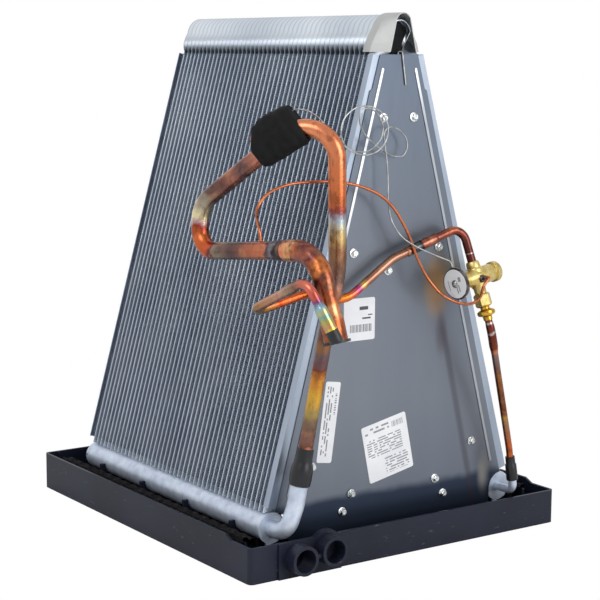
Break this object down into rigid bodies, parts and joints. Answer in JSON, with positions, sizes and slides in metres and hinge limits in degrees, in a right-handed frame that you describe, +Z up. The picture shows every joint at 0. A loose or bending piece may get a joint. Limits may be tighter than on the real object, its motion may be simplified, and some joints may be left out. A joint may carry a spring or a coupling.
{
  "type": "evaporator coil",
  "caption": "Uncased A-shaped evaporator coil on a drain pan, with looped suction line, liquid line, expansion valve and sensing bulb.",
  "frame": {"origin": "centre of the drain pan's flat bottom, where the pan rests on the floor", "axes": "+X across the A towards the drop tube's header, +Y away from the piping side, +Z up"},
  "size_m": [0.4325, 0.6069, 0.5963],
  "materials": {
    "pan": "moulded black",
    "aluminium": "bare",
    "fins": "bare, shaded by the fins",
    "plate": "heat stained sheet",
    "copper": "heat coloured copper",
    "valve": "machined brass",
    "sleeve": "satin black",
    "foam": "black foam",
    "plug": "black",
    "head": "white face, dark rim",
    "screw": "zinc",
    "strap": "thin strap",
    "label": "printed film"
  },
  "bodies": {
    "root": {"drain_pan": "pan", "left_header": "aluminium", "right_header": "aluminium", "left_header_front_cap": "aluminium", "right_header_front_cap": "aluminium", "left_header_back_cap": "aluminium", "right_header_back_cap": "aluminium", "flat_tubes": "aluminium", "left_fin_pack": "fins", "right_fin_pack": "fins", "left_front_channel": "aluminium", "right_front_channel": "aluminium", "left_back_channel": "aluminium", "right_back_channel": "aluminium", "front_plate": "plate", "back_plate": "plate", "front_screws": "screw", "back_screws": "screw", "hook_wire": "screw", "foam_block": "foam", "front_band": "aluminium", "suction_stub": "aluminium", "suction_riser": "copper", "suction_sleeve": "sleeve", "suction_loop": "copper", "suction_outlet": "copper", "suction_plug": "plug", "sensing_bulb": "copper", "bulb_straps": "strap", "bulb_wrap": "foam", "valve_body": "valve", "valve_cap": "valve", "power_head": "head", "outlet_nut": "valve", "outlet_collar": "valve", "liquid_line": "copper", "liquid_plug": "plug", "liquid_strainer": "copper", "liquid_elbow": "copper", "drop_tube": "copper", "drop_stub": "aluminium", "drop_sleeve": "sleeve", "equalizer_fitting": "valve", "equalizer_tube": "copper", "capillary_tube": "copper", "number_label": "label", "notice_label": "label", "rating_label": "label"}
  },
  "joints": []
}
